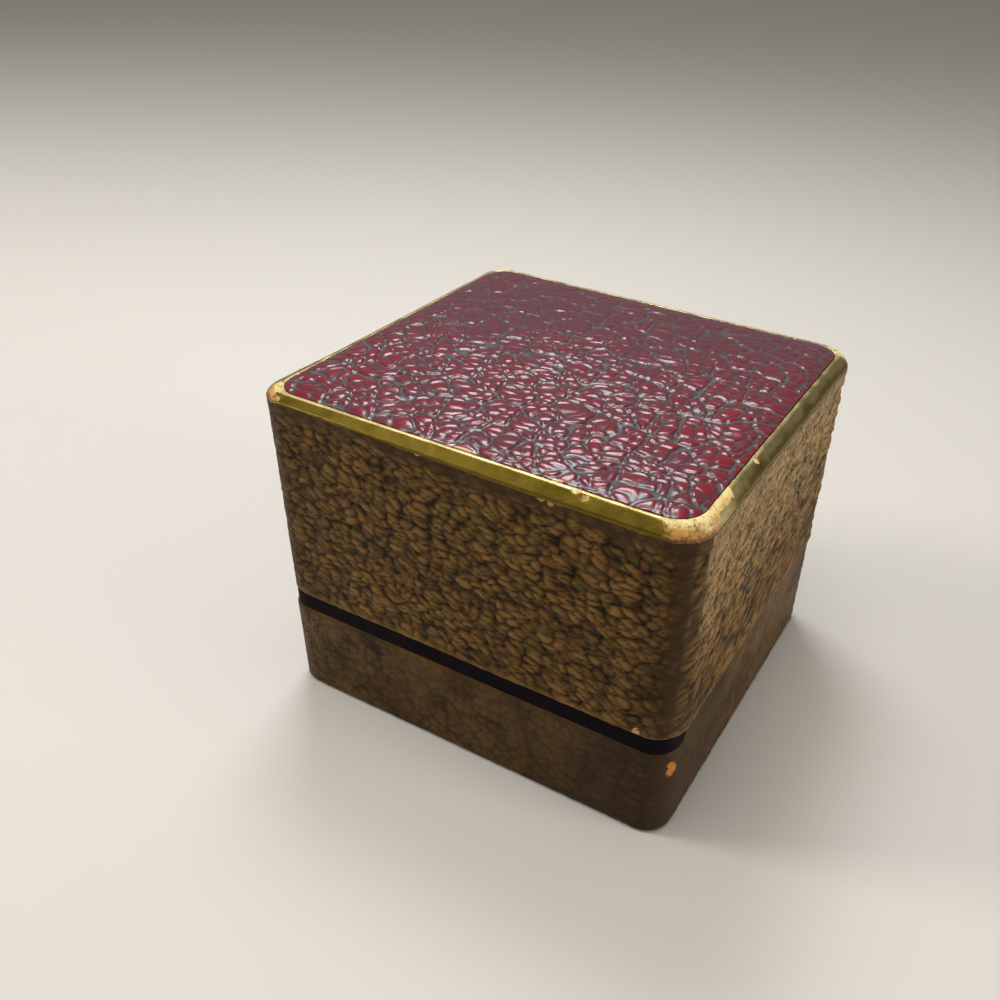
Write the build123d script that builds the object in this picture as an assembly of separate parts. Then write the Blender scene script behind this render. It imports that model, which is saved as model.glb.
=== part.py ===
from build123d import *
import os

# A leather-covered ring box: a low base, a high lid hinged at the back, a gilt bevelled
# rim round the top and a raised leather panel inside the rim. Millimetres.
# The origin is the centre of the footprint on the table. +Z is up, the opening side faces
# -Y and the hinge is at +Y.

# ---- driving dimensions -------------------------------------------------------------
width = 50.0             # lid, left to right over the leather
depth = 46.0             # lid, front to back over the leather
corner_r = 3.7           # upright corners of the lid
base_corner_r = 3.1      # upright corners of the base
least_r = 0.3            # and the least that an inner corner may have
seam_z = 13.8            # lower edge of the lid
lid_side_h = 23.8        # leather side of the lid, from the seam to the gilt rim
seam_gap = 0.2           # hairline between lid and base on the front and the sides
groove_h = 1.65          # open height of the hinge groove at the back
side_overhang = 0.25     # the lid stands past the base on the left and the right
front_overhang = 0.4     # and past it at the front
bottom_round = 0.7       # rounding of the base's bottom edge
groove_round = 0.8       # rounding of the base's edge under the groove
lid_edge_round = 0.4     # rounding of the lid's lower edge

leather_t = 0.5          # covering leather
wall_t = 1.8             # wooden walls
base_floor_t = 2.0       # wooden floor
lid_top_t = 2.0          # wooden top
turn_in = 4.0            # leather turned in under the base
cover_gap = 0.1          # round the bottom cover

rim_h = 1.35             # gilt rim above the leather sides
rim_foot_h = 0.3         # upright foot of the rim under its bevel
rim_foot_inset = 0.1     # the rim stands back from the leather face
rim_bevel_w = 1.05       # width of the bevel
rim_ledge_w = 0.4        # narrow flat beside the panel
panel_proud = 0.5        # panel above the rim's flat
panel_gap = 0.1          # dark line between panel and rim
panel_leather_t = 0.5    # leather over the panel's card
panel_round = 0.42       # rounding of the panel's edge
panel_corner_r = 2.9     # upright corners of the panel

liner_t = 0.5            # card liners
lip_h = 1.6              # the base liner stands this far above the seam
lip_clear = 0.35         # between that lip and the lid's liner
lip_end_gap = 0.5        # the lip stops short of the groove

pad_board_t = 0.8        # card under the ring pads
pad_crown = 2.6          # the pads' crown above the seam
pad_shoulder = 3.4       # crown above the pads' upright sides
pad_gap = 0.3            # round the pads
slot_w = 1.2             # ring slot at its narrowest
pad_end_round = 2.0      # rounding of the pads' ends

lid_card_t = 0.8         # card over the satin pad
lid_card_gap = 0.3       # round that card and the pad
satin_t = 3.8            # satin pad at its middle
satin_crown_r = 180.0    # crown of the satin pad
satin_round = 0.6        # rounding of its edge

hinge_len = 30.0         # hinge, left to right
hinge_inset = 0.85       # hinge axis inside the back face
barrel_r = 0.45          # knuckles, outside
pin_r = 0.25             # hinge pin
fixed_fit = 0.02         # pin in the base's knuckles
running_fit = 0.05       # pin in the lid's knuckles
knuckles = 5             # the odd ones belong to the base
knuckle_gap = 0.1        # between neighbouring knuckles
barrel_clear = 0.15      # leaves round the other leaf's knuckles
leaf_t = 0.3             # brass of the leaves
leaf_drop = 5.0          # leaves along the inner faces of the back walls
rivets = 3               # in each leaf
rivet_pitch = 11.0
rivet_level = 3.2        # rivets, from the groove's edges
rivet_r = 0.3
rivet_head_r = 0.7
rivet_head_t = 0.25
rivet_grip = 1.2         # into the wall
rivet_fit = 0.02
strip_t = 0.15           # leather strip in the groove
strip_inset = 0.2        # the strip lies inside the back face
strip_gap = 0.05         # above the strip
strip_drop = 0.1         # the strip's foot below the groove's floor

touch = 0.01             # how near an edge lies to a level that names it

# ---- derived places -----------------------------------------------------------------
side_top_z = seam_z + lid_side_h
rim_top_z = side_top_z + rim_h
back_y = depth / 2
base_w = width - 2 * side_overhang
base_d = depth - front_overhang
base_y = front_overhang / 2
base_top_z = seam_z - seam_gap
groove_z = seam_z - groove_h
groove_y = back_y - corner_r
skin_t = leather_t + wall_t
wall_y = back_y - skin_t
axis_y = back_y - hinge_inset
axis_z = seam_z - groove_h / 2
liner_back_y = wall_y - leaf_t - rivet_head_t
rim_in = rim_foot_inset + rim_bevel_w + rim_ledge_w
panel_in = rim_in + panel_gap
floor_z = leather_t + base_floor_t
pad_z = floor_z + pad_board_t
pad_crown_z = seam_z + pad_crown
lid_ceiling_z = side_top_z - lid_top_t
lid_liner_z = base_top_z + lip_h + lip_clear
card_z = lid_ceiling_z - lid_card_t


def slab(w, d, r, z0, z1, y=0.0):
    """A block with rounded upright corners, standing from z0 to z1."""
    return Pos(0, y, z0) * extrude(RectangleRounded(w, d, r), z1 - z0)


def box_between(x0, x1, y0, y1, z0, z1):
    """A plain block between two corners."""
    middle = ((x0 + x1) / 2, (y0 + y1) / 2, (z0 + z1) / 2)
    return Pos(*middle) * Box(x1 - x0, y1 - y0, z1 - z0)


def lid_slab(inset, z0, z1):
    """The lid's outline, drawn in by inset."""
    return slab(width - 2 * inset, depth - 2 * inset, max(corner_r - inset, least_r), z0, z1)


def base_slab(inset, z0, z1):
    """The base's outline, drawn in by inset."""
    r = max(base_corner_r - inset, least_r)
    return slab(base_w - 2 * inset, base_d - 2 * inset, r, z0, z1, base_y)


def edges_at(shape, z):
    """The level edges at height z."""
    return shape.edges().filter_by(lambda e: abs(e.bounding_box().min.Z - z) < touch
                                   and abs(e.bounding_box().max.Z - z) < touch)


def base_block(inset):
    """The base's solid outline, drawn in all round: stepped down at the hinge groove."""
    block = base_slab(inset, inset, base_top_z - inset)
    block = fillet(edges_at(block, inset), bottom_round - inset)
    return block - box_between(-width, width, groove_y - inset, depth, groove_z - inset, seam_z)


def groove_rounding(block):
    """Round the outer edge of the step under the groove."""
    level = edges_at(block, groove_z)
    return fillet([e for e in level if e.bounding_box().max.Y > groove_y + touch], groove_round)


# ---- base ---------------------------------------------------------------------------
def make_base_shell():
    """Wooden tray: floor and four walls, lower at the hinge."""
    tray = base_block(leather_t) - base_slab(skin_t, floor_z, seam_z)
    return tray - rivet_shanks(rivet_fit, groove_z - rivet_level)


def make_base_leather():
    """Leather round the walls, turned over their tops and in under the bottom."""
    leather = groove_rounding(base_block(0.0)) - base_block(leather_t)
    leather -= base_slab(skin_t, leather_t, seam_z)
    return leather - base_slab(turn_in, -leather_t, leather_t)


def make_base_bottom_cover():
    """Sheet that closes the bottom inside the turned-in leather."""
    return base_slab(turn_in + cover_gap, 0.0, leather_t)


def liner_ring(w, d, y, r, z0, z1):
    """A card liner: four thin walls."""
    hole = slab(w - 2 * liner_t, d - 2 * liner_t, max(r - liner_t, least_r), z0, z1, y)
    return slab(w, d, r, z0, z1, y) - hole


def base_liner_sizes():
    """Width, depth and middle of the liner inside the tray."""
    front_y = base_y - base_d / 2 + skin_t
    return base_w - 2 * skin_t, liner_back_y - front_y, (liner_back_y + front_y) / 2


def make_base_liner():
    """Card liner; its front and sides stand up inside the lid."""
    w, d, y = base_liner_sizes()
    ring = liner_ring(w, d, y, max(base_corner_r - skin_t, least_r), floor_z, base_top_z + lip_h)
    return ring - box_between(-width, width, groove_y - lip_end_gap, depth, groove_z, lid_liner_z)


def make_pad_board():
    """Card on the tray's floor, under the ring pads."""
    w, d, y = base_liner_sizes()
    r = max(base_corner_r - skin_t - liner_t, least_r)
    return slab(w - 2 * liner_t, d - 2 * liner_t, r, floor_z, pad_z, y)


def ring_pad(y0, y1):
    """One velvet roll: upright sides, a crowned top and rounded ends."""
    half = base_w / 2 - skin_t - liner_t - pad_gap
    side_z = pad_crown_z - pad_shoulder
    outline = Polyline((y0, side_z), (y0, pad_z), (y1, pad_z), (y1, side_z))
    outline += ThreePointArc((y1, side_z), ((y0 + y1) / 2, pad_crown_z), (y0, side_z))
    face = make_face((Plane.YZ * outline).edges())
    roll = Pos(-half, 0, 0) * extrude(face, 2 * half, dir=(1, 0, 0))
    ends = [e for e in roll.edges() if abs(abs(e.center().X) - half) < touch and e.center().Z > side_z]
    return fillet(ends, pad_end_round)


def make_ring_pads():
    """The front and the rear roll, with the ring slot between them."""
    w, d, y = base_liner_sizes()
    front = y - d / 2 + liner_t + pad_gap
    rear = y + d / 2 - liner_t - pad_gap
    return ring_pad(front, y - slot_w / 2), ring_pad(y + slot_w / 2, rear)


# ---- hinge --------------------------------------------------------------------------
def rod(r, x0, x1):
    """A round bar along the hinge axis."""
    return Pos((x0 + x1) / 2, axis_y, axis_z) * Rot(0, 90, 0) * Cylinder(r, x1 - x0)


def knuckle_spans(first):
    """Start and end of every second knuckle along the hinge."""
    pitch = hinge_len / knuckles
    starts = [-hinge_len / 2 + i * pitch for i in range(first, knuckles, 2)]
    return [(x + knuckle_gap / 2, x + pitch - knuckle_gap / 2) for x in starts]


def hinge_leaf(first, edge_z, way, fit):
    """A leaf bent over the edge of a back wall, with its knuckles; way is down or up."""
    half = hinge_len / 2 - knuckle_gap / 2
    tab_z = sorted((edge_z, edge_z - way * leaf_t))
    drop_z = sorted((edge_z - way * leaf_t, edge_z + way * leaf_drop))
    stop_y = axis_y - barrel_r - barrel_clear
    leaf = box_between(-half, half, wall_y - leaf_t, stop_y, *tab_z)
    leaf += box_between(-half, half, wall_y - leaf_t, wall_y, *drop_z)
    for x0, x1 in knuckle_spans(first):
        leaf += rod(barrel_r, x0, x1)
        leaf += box_between(x0, x1, wall_y - leaf_t, axis_y, *tab_z)
    leaf -= rod(pin_r + fit, -hinge_len, hinge_len)
    return leaf - rivet_shanks(rivet_fit, edge_z + way * rivet_level)


def rivet_places():
    """Left to right places of the rivets."""
    return [(i - (rivets - 1) / 2) * rivet_pitch for i in range(rivets)]


def rivet_shanks(fit, z):
    """The shanks of one row of rivets, or with a fit their holes."""
    start = wall_y - leaf_t - rivet_head_t / 2
    end = wall_y + rivet_grip + fit
    shank = Pos(0, (start + end) / 2, z) * Rot(90, 0, 0) * Cylinder(rivet_r + fit, end - start)
    return Part() + [Pos(x, 0, 0) * shank for x in rivet_places()]


def make_rivets(z):
    """One row of rivets: shanks and flat heads."""
    place = Pos(0, wall_y - leaf_t - rivet_head_t / 2, z) * Rot(90, 0, 0)
    head = place * Cylinder(rivet_head_r, rivet_head_t)
    return rivet_shanks(0.0, z) + [Pos(x, 0, 0) * head for x in rivet_places()]


def make_hinge_strip():
    """Thin leather in the groove, from one side round the back to the other."""
    z0 = groove_z - strip_drop
    z1 = seam_z - strip_gap
    strip = base_slab(strip_inset, z0, z1) - base_slab(strip_inset + strip_t, z0, z1)
    return strip & box_between(-width, width, groove_y + strip_inset, depth, z0, z1)


# ---- lid ----------------------------------------------------------------------------
def make_lid_shell():
    """Wooden lid: top and four walls."""
    box = lid_slab(leather_t, seam_z + leather_t, side_top_z)
    box -= lid_slab(skin_t, seam_z, lid_ceiling_z)
    return box - rivet_shanks(rivet_fit, seam_z + rivet_level)


def make_lid_leather():
    """Leather round the four sides of the lid, turned in under their edge."""
    leather = lid_slab(0.0, seam_z, side_top_z)
    leather = fillet(edges_at(leather, seam_z), lid_edge_round)
    leather -= lid_slab(leather_t, seam_z + leather_t, side_top_z)
    return leather - lid_slab(skin_t, seam_z, side_top_z)


def make_gilt_rim():
    """Bevelled frame round the top: a short foot, a wide bevel and a narrow flat."""
    foot = lid_slab(rim_foot_inset, side_top_z, side_top_z + rim_foot_h)
    low = Pos(0, 0, side_top_z + rim_foot_h) * rim_outline(rim_foot_inset)
    high = Pos(0, 0, rim_top_z) * rim_outline(rim_foot_inset + rim_bevel_w)
    return foot + loft([low, high], ruled=True) - panel_slab(-panel_gap, side_top_z, rim_top_z)


def rim_outline(inset):
    """The rim's outline at one level."""
    return RectangleRounded(width - 2 * inset, depth - 2 * inset, corner_r - inset)


def panel_slab(inset, z0, z1):
    """The panel's outline, drawn in by inset."""
    r = max(panel_corner_r - inset, least_r)
    return slab(width - 2 * (panel_in + inset), depth - 2 * (panel_in + inset), r, z0, z1)


def make_top_panel_leather():
    """Leather cap over the panel's card, softly rounded at its edge."""
    top_z = rim_top_z + panel_proud
    cap = panel_slab(0.0, side_top_z, top_z)
    cap = fillet(edges_at(cap, top_z), panel_round)
    return cap - panel_slab(panel_leather_t, side_top_z, top_z - panel_leather_t)


def make_top_panel_board():
    """Card inside the panel's leather cap, on the wooden top."""
    return panel_slab(panel_leather_t, side_top_z, rim_top_z + panel_proud - panel_leather_t)


def lid_liner_sizes():
    """Width, depth and middle of the liner inside the lid."""
    front_y = -depth / 2 + skin_t
    return width - 2 * skin_t, liner_back_y - front_y, (liner_back_y + front_y) / 2


def make_lid_liner():
    """Card liner inside the lid, above the base's lip."""
    w, d, y = lid_liner_sizes()
    return liner_ring(w, d, y, corner_r - skin_t, lid_liner_z, lid_ceiling_z)


def inside_lid(z0, z1):
    """A slab that fills the lid's liner but for a small gap."""
    w, d, y = lid_liner_sizes()
    inset = liner_t + lid_card_gap
    return slab(w - 2 * inset, d - 2 * inset, 1.0, z0, z1, y)


def make_lid_pad_card():
    """Card against the lid's top."""
    return inside_lid(card_z, lid_ceiling_z)


def make_lid_satin_pad():
    """Padded satin under the card, crowned downwards."""
    y = lid_liner_sizes()[2]
    pad = inside_lid(card_z - satin_t, card_z)
    pad &= Pos(0, y, card_z - satin_t + satin_crown_r) * Sphere(satin_crown_r)
    low = [e for e in pad.edges() if e.bounding_box().max.Z < card_z - 0.1 and e.length > 2.0]
    return fillet(low, satin_round)


# ---- write the pieces ---------------------------------------------------------------
def main():
    """Build each piece and write it to its own file."""
    os.makedirs("parts", exist_ok=True)
    pad_front, pad_rear = make_ring_pads()
    pieces = {
        "base_shell": make_base_shell(),
        "base_leather": make_base_leather(),
        "base_bottom_cover": make_base_bottom_cover(),
        "base_liner": make_base_liner(),
        "pad_board": make_pad_board(),
        "ring_pad_front": pad_front,
        "ring_pad_rear": pad_rear,
        "hinge_base_leaf": hinge_leaf(0, groove_z, -1, fixed_fit),
        "hinge_pin": rod(pin_r, -hinge_len / 2, hinge_len / 2),
        "base_leaf_rivets": make_rivets(groove_z - rivet_level),
        "hinge_strip": make_hinge_strip(),
        "lid_shell": make_lid_shell(),
        "lid_leather": make_lid_leather(),
        "gilt_rim": make_gilt_rim(),
        "top_panel_board": make_top_panel_board(),
        "top_panel_leather": make_top_panel_leather(),
        "lid_liner": make_lid_liner(),
        "lid_pad_card": make_lid_pad_card(),
        "lid_satin_pad": make_lid_satin_pad(),
        "hinge_lid_leaf": hinge_leaf(1, seam_z, 1, running_fit),
        "lid_leaf_rivets": make_rivets(seam_z + rivet_level),
    }
    for name, shape in pieces.items():
        export_step(shape, f"parts/{name}.step")


main()
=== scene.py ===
import math

import bmesh
import bpy
import numpy as np
from mathutils import Matrix, Vector


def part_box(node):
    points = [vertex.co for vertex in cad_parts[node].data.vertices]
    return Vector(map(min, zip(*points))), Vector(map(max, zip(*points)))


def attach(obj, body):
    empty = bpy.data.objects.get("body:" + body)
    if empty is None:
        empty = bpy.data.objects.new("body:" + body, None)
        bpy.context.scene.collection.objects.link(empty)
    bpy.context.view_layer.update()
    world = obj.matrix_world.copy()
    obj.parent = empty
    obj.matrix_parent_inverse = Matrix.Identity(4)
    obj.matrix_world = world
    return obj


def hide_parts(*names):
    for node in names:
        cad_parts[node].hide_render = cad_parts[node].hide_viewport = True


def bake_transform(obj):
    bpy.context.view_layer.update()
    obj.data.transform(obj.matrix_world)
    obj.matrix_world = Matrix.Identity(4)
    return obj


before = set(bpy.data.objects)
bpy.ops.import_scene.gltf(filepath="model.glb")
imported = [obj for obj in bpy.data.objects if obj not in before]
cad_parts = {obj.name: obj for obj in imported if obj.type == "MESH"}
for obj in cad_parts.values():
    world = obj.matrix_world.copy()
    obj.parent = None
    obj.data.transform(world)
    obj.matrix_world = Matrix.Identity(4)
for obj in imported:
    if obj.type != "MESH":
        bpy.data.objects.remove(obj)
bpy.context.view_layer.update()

mm = 0.001
mergeNear = 0.002 * mm  # points nearer than this become one
leastRound = 0.15 * mm  # an inner corner isn't drawn tighter than this
roundStops = 9  # on a rounded edge of a profile


# small helpers: selecting, reading and writing a mesh
def deselectAll():
    bpy.ops.object.select_all(action="DESELECT")


def makeActive(piece):
    deselectAll()
    piece.select_set(True)
    bpy.context.view_layer.objects.active = piece


def readPoints(piece):
    points = np.zeros(len(piece.data.vertices) * 3, np.float32)
    piece.data.vertices.foreach_get("co", points)
    return points.reshape(-1, 3).astype(float)


def writePoints(piece, points):
    piece.data.vertices.foreach_set("co", points.astype(np.float32).ravel())
    piece.data.update()


def storeValues(piece, **values):
    # one number for each point, which the material reads by its name
    for name, value in values.items():
        attribute = piece.data.attributes.new(name, "FLOAT", "POINT")
        attribute.data.foreach_set("value", np.asarray(value, np.float32))


def editAll(piece):
    makeActive(piece)
    bpy.ops.object.mode_set(mode="EDIT")
    bpy.ops.mesh.select_all(action="SELECT")


def extrudeUp(rise):
    bpy.ops.mesh.extrude_region_move(TRANSFORM_OT_translate={"value": (0, 0, rise)})


def mergeAndTurnOut():
    bpy.ops.mesh.select_all(action="SELECT")
    bpy.ops.mesh.remove_doubles(threshold=mergeNear)
    bpy.ops.mesh.normals_make_consistent(inside=False)


def smoothAndGive(piece, angle, material):
    if piece.mode == "EDIT":
        mergeAndTurnOut()
        bpy.ops.object.mode_set(mode="OBJECT")
    makeActive(piece)
    bpy.ops.object.shade_smooth_by_angle(angle=math.radians(angle))
    give(piece, material)


def newPiece(name, scale=(1, 1, 1)):
    # the primitive that was just added, brought to its size
    piece = bpy.context.object
    piece.name = piece.data.name = name
    piece.scale = scale
    bpy.ops.object.transform_apply(location=True, rotation=True, scale=True)
    return piece


def splitBlock(name, node, cuts):
    # a block that fills a CAD node's box, split finely for shaping
    low, high = nodeBox(node)
    middle, size = (low + high) / 2, high - low
    deselectAll()
    bpy.ops.mesh.primitive_cube_add(size=1, location=middle)
    piece = newPiece(name, size)
    editAll(piece)
    bpy.ops.mesh.subdivide(number_cuts=cuts)
    bpy.ops.object.mode_set(mode="OBJECT")
    points = readPoints(piece)
    return piece, points, (points - middle) / (size / 2), low, middle, size


def nodeBox(name):
    return [np.array(corner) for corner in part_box(name)]


# grain: cells, noise and steps, all seeded
def hashed(*keys):
    # a value from 0 to 1 for each set of keys, the same on every run
    total = np.zeros(np.broadcast(*keys).shape)
    for i, key in enumerate(keys):
        total = total + np.asarray(key, float) * (127.1 + 184.6 * i)
    value = np.sin(total) * 43758.5453
    return value - np.floor(value)


def step(low, high, value):
    t = np.clip((value - low) / (high - low), 0, 1)
    return t * t * (3 - 2 * t)


def cellGrain(u, v, size, seed, jitter, wrap=None, slope=0.0):
    # distance to the nearest two cell centres, and a random value for the cell. size is a
    # cell's length along u and v; wrap is the length after which u comes back to its start
    across = max(1, int(np.rint(wrap / size[0]))) if wrap else 0
    x = u / (wrap / across) if wrap else u / size[0]
    y = (v + slope * u) / size[1]
    near = second = np.full(x.shape, 9.0)  # farther than any centre
    own = np.zeros(x.shape)
    for dx in (-1, 0, 1):
        for dy in (-2, -1, 0, 1, 2):
            cx, cy = np.floor(x) + dx, np.floor(y) + dy
            kx = cx - np.floor(cx / across) * across if wrap else cx
            px = cx + 0.5 + jitter * (hashed(kx, cy, seed) - 0.5)
            py = cy + 0.5 + jitter * (hashed(kx, cy, seed + 7.3) - 0.5)
            far = np.hypot(x - px, y - py)
            closer = far < near
            second = np.where(closer, near, np.minimum(second, far))
            own = np.where(closer, hashed(kx, cy, seed + 3.1), own)
            near = np.where(closer, far, near)
    return near, second, own


def softNoise(points, size, seed):
    # smooth value noise in space, about -1 to 1, size in millimetres
    p = points / (size * mm)
    low = np.floor(p)
    f = p - low
    f = f * f * (3 - 2 * f)
    total = 0
    for corner in range(8):
        d = np.array([(corner >> i) & 1 for i in range(3)])
        weight = np.where(d, f, 1 - f).prod(axis=1)
        total = total + weight * hashed(*(low + d).T, seed)
    return total * 2 - 1


def warped(along, points, bend, fine, sizes, seed):
    # along is bent by wide noise, and by some finer noise
    wide, narrow = sizes
    along = along + bend * softNoise(points, wide, seed)
    return along + fine * bend * softNoise(points, narrow, seed + 1)


# a loop of edges carried round the box
def insideRound(x, y, half, corner):
    # how far a point lies inside a rounded rectangle, and which way is out
    px = np.maximum(np.abs(x) - (half[0] - corner), 0)
    py = np.maximum(np.abs(y) - (half[1] - corner), 0)
    far = np.maximum(np.hypot(px, py), 1e-9)
    return corner - far, np.sign(x) * px / far, np.sign(y) * py / far


def outlineLoop(name, size, inset, z, spacing):
    # the box's outline as one loop of short edges
    w, d, r, middle = size
    deselectAll()
    bpy.ops.mesh.primitive_plane_add(size=1, location=(0, middle, z))
    piece = newPiece(name, (w - 2 * inset, d - 2 * inset, 1))
    editAll(piece)
    bpy.ops.mesh.bevel(offset=r - inset, segments=round(r * math.pi / 2 / spacing), affect="VERTICES")
    bpy.ops.mesh.select_mode(type="EDGE")
    bpy.ops.mesh.select_all(action="SELECT")
    bpy.ops.mesh.delete(type="ONLY_FACE")
    # only the four long straights are split further
    for edge in bmesh.from_edit_mesh(piece.data).edges:
        edge.select_set(edge.calc_length() > 10 * mm)
    bpy.ops.mesh.subdivide(number_cuts=1)
    bpy.ops.mesh.subdivide(number_cuts=round((w / 2 - r) / spacing) - 1)
    bpy.ops.mesh.select_all(action="SELECT")
    return piece


def drawLoopIn(piece, size, inset, nextInset, z):
    # the selected loop goes in, or out, square to the outline; past the corners' rounds it shrinks
    w, d, r, middle = size
    least = r - leastRound
    a, b = min(inset, least), min(nextInset, least)
    centre = (0, middle, z)
    if inset > least:
        wide, deep = (w / 2 - a) / (w / 2 - inset), (d / 2 - a) / (d / 2 - inset)
        bpy.ops.transform.resize(value=(wide, deep, 1), center_override=centre)
    for vert in bmesh.from_edit_mesh(piece.data).verts:
        if vert.select:
            outX, outY = insideRound(vert.co.x, vert.co.y - middle, (w / 2, d / 2), r)[1:]
            vert.co.x -= (b - a) * outX
            vert.co.y -= (b - a) * outY
    if nextInset > least:
        wide, deep = (w / 2 - nextInset) / (w / 2 - b), (d / 2 - nextInset) / (d / 2 - b)
        bpy.ops.transform.resize(value=(wide, deep, 1), center_override=centre)


def carriedRound(name, size, profile, spacing, walls=()):
    # profile is stops of (inset, z), back to the first; walls are (low, high, cuts) to split evenly
    piece = outlineLoop(name, size, *profile[0], spacing)
    for (inset, z), (nextInset, nextZ) in zip(profile, profile[1:] + profile[:1]):
        extrudeUp(nextZ - z)
        if nextInset != inset:
            drawLoopIn(piece, size, inset, nextInset, nextZ)
    mergeAndTurnOut()
    for low, high, cuts in walls:
        bpy.ops.mesh.select_all(action="DESELECT")
        for edge in bmesh.from_edit_mesh(piece.data).edges:
            a, b = sorted(vert.co.z for vert in edge.verts)
            edge.select_set(bool(max(abs(a - low), abs(b - high)) < 0.01 * mm))
        bpy.ops.mesh.subdivide_edgering(number_cuts=cuts, interpolation="LINEAR")
    bpy.ops.object.mode_set(mode="OBJECT")
    return piece


def alongOutline(points, size):
    # how far round the outline each point lies, how far inside it, and the outline's normal
    w, d, r, middle = size
    x, y = points[:, 0], points[:, 1] - middle
    inset, outX, outY = insideRound(x, y, (w / 2, d / 2), r)
    flatX, flatY, arc = w - 2 * r, d - 2 * r, r * math.pi / 2
    turned = np.arctan2(np.abs(outX), np.abs(outY))
    front = flatX + r * turned
    right = flatX + arc + flatY + arc - r * turned
    back = 2 * flatX + 2 * arc + flatY + r * turned
    left = 2 * flatX + 2 * flatY + 4 * arc - r * turned
    corner = np.where(x > 0, np.where(y < 0, front, right), np.where(y > 0, back, left))
    level = np.where(y < 0, x + flatX / 2, 1.5 * flatX + 2 * arc + flatY - x)
    side = np.where(x > 0, 1.5 * flatY + flatX + arc - flatY + y, 2 * flatX + 1.5 * flatY + 3 * arc - y)
    return {"u": np.where(outX == 0, level, np.where(outY == 0, side, corner)), "inset": inset,
            "normal": np.column_stack([outX, outY]), "length": 2 * flatX + 2 * flatY + 4 * arc}


def drawnOutSides(around, size, factor):
    # the way round, shortened on the two narrow sides so that the cells lie longer there
    w, d, r = size[:3]
    arc = r * math.pi / 2
    wide, narrow = w - 2 * r + arc, d - 2 * r + arc
    places = np.cumsum([-arc / 2, wide, narrow, wide, narrow, wide])
    shorter = np.cumsum([0, wide, narrow * factor, wide, narrow * factor, wide])
    return np.interp(around["u"], places, shorter), 2 * (wide + narrow * factor)


# material helpers
def newMaterial(name, **sockets):
    material = bpy.data.materials.new(name)
    material.use_nodes = True
    shader = material.node_tree.nodes["Principled BSDF"]
    for socket, value in sockets.items():
        shader.inputs[socket.replace("_", " ")].default_value = value
    return material, material.node_tree, shader.inputs


def addNode(tree, kind, **settings):
    node = tree.nodes.new(kind)
    for key, value in settings.items():
        if key in node.inputs:
            node.inputs[key].default_value = value
        else:
            setattr(node, key, value)
    return node


def objectPoints(tree, scale=(1, 1, 1)):
    coordinates = tree.nodes.new("ShaderNodeTexCoord")
    mapping = tree.nodes.new("ShaderNodeMapping")
    mapping.inputs["Scale"].default_value = scale
    tree.links.new(coordinates.outputs["Object"], mapping.inputs["Vector"])
    return mapping.outputs["Vector"]


def noiseOf(tree, vector, size, detail=3.0, roughness=0.55, distortion=0.0):
    noise = addNode(tree, "ShaderNodeTexNoise", Scale=1 / (size * mm), Detail=detail, Roughness=roughness,
                    Distortion=distortion)
    tree.links.new(vector, noise.inputs["Vector"])
    return noise.outputs["Fac"]


def rampOf(tree, factor, stops):
    ramp = tree.nodes.new("ShaderNodeValToRGB")
    while len(ramp.color_ramp.elements) < len(stops):
        ramp.color_ramp.elements.new(0.5)
    for element, (place, colour) in zip(ramp.color_ramp.elements, stops):
        element.position = place
        element.color = (*colour, 1)
    tree.links.new(factor, ramp.inputs["Fac"])
    return ramp.outputs["Color"]


def rangeOf(tree, factor, fromLow, fromHigh, low, high):
    span = addNode(tree, "ShaderNodeMapRange")
    for key, value in (("From Min", fromLow), ("From Max", fromHigh), ("To Min", low), ("To Max", high)):
        span.inputs[key].default_value = value
    tree.links.new(factor, span.inputs["Value"])
    return span.outputs["Result"]


def plug(tree, value, socket):
    # a socket takes another node's output, a colour or a number
    if isinstance(value, bpy.types.NodeSocket):
        tree.links.new(value, socket)
    else:
        socket.default_value = (*value, 1) if isinstance(value, tuple) else value


def mixColours(tree, factor, a, b, blend="MIX"):
    mix = addNode(tree, "ShaderNodeMix", data_type="RGBA", blend_type=blend)
    for socket, value in ((mix.inputs[0], factor), (mix.inputs[6], a), (mix.inputs[7], b)):
        plug(tree, value, socket)
    return mix.outputs[2]


def tinted(tree, colour, factor, low, high, amount, tint, blend="MIX"):
    # the tint comes in as the factor goes from low to high
    return mixColours(tree, rangeOf(tree, factor, low, high, 0.0, amount), colour, tint, blend)


def sums(tree, a, b, operation="ADD"):
    node = addNode(tree, "ShaderNodeMath", operation=operation)
    plug(tree, a, node.inputs[0])
    plug(tree, b, node.inputs[1])
    return node.outputs[0]


def attributeOf(tree, name):
    attribute = addNode(tree, "ShaderNodeAttribute", attribute_name=name)
    return attribute.outputs["Fac"]


def flecksOf(tree, points, size, detail=4.0, roughness=0.65):
    # fine noise, and the same noise about zero
    speckle = noiseOf(tree, points, size, detail, roughness)
    return speckle, sums(tree, speckle, 0.5, "SUBTRACT")


def flecked(tree, name, flecks, amount):
    # a value stored on the mesh, its borders broken up by flecks
    return sums(tree, attributeOf(tree, name), sums(tree, flecks, amount, "MULTIPLY"))


def bumpInto(tree, inputs, height, depth):
    bump = addNode(tree, "ShaderNodeBump", Strength=1.0, Distance=depth * mm)
    tree.links.new(height, bump.inputs["Height"])
    tree.links.new(bump.outputs["Normal"], inputs["Normal"])


def give(piece, material):
    piece.data.materials.clear()
    piece.data.materials.append(material)


def finishPiece(piece, body, node):
    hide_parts(node)
    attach(piece, body)
    print("made", piece.name, len(piece.data.polygons), "faces")


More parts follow.
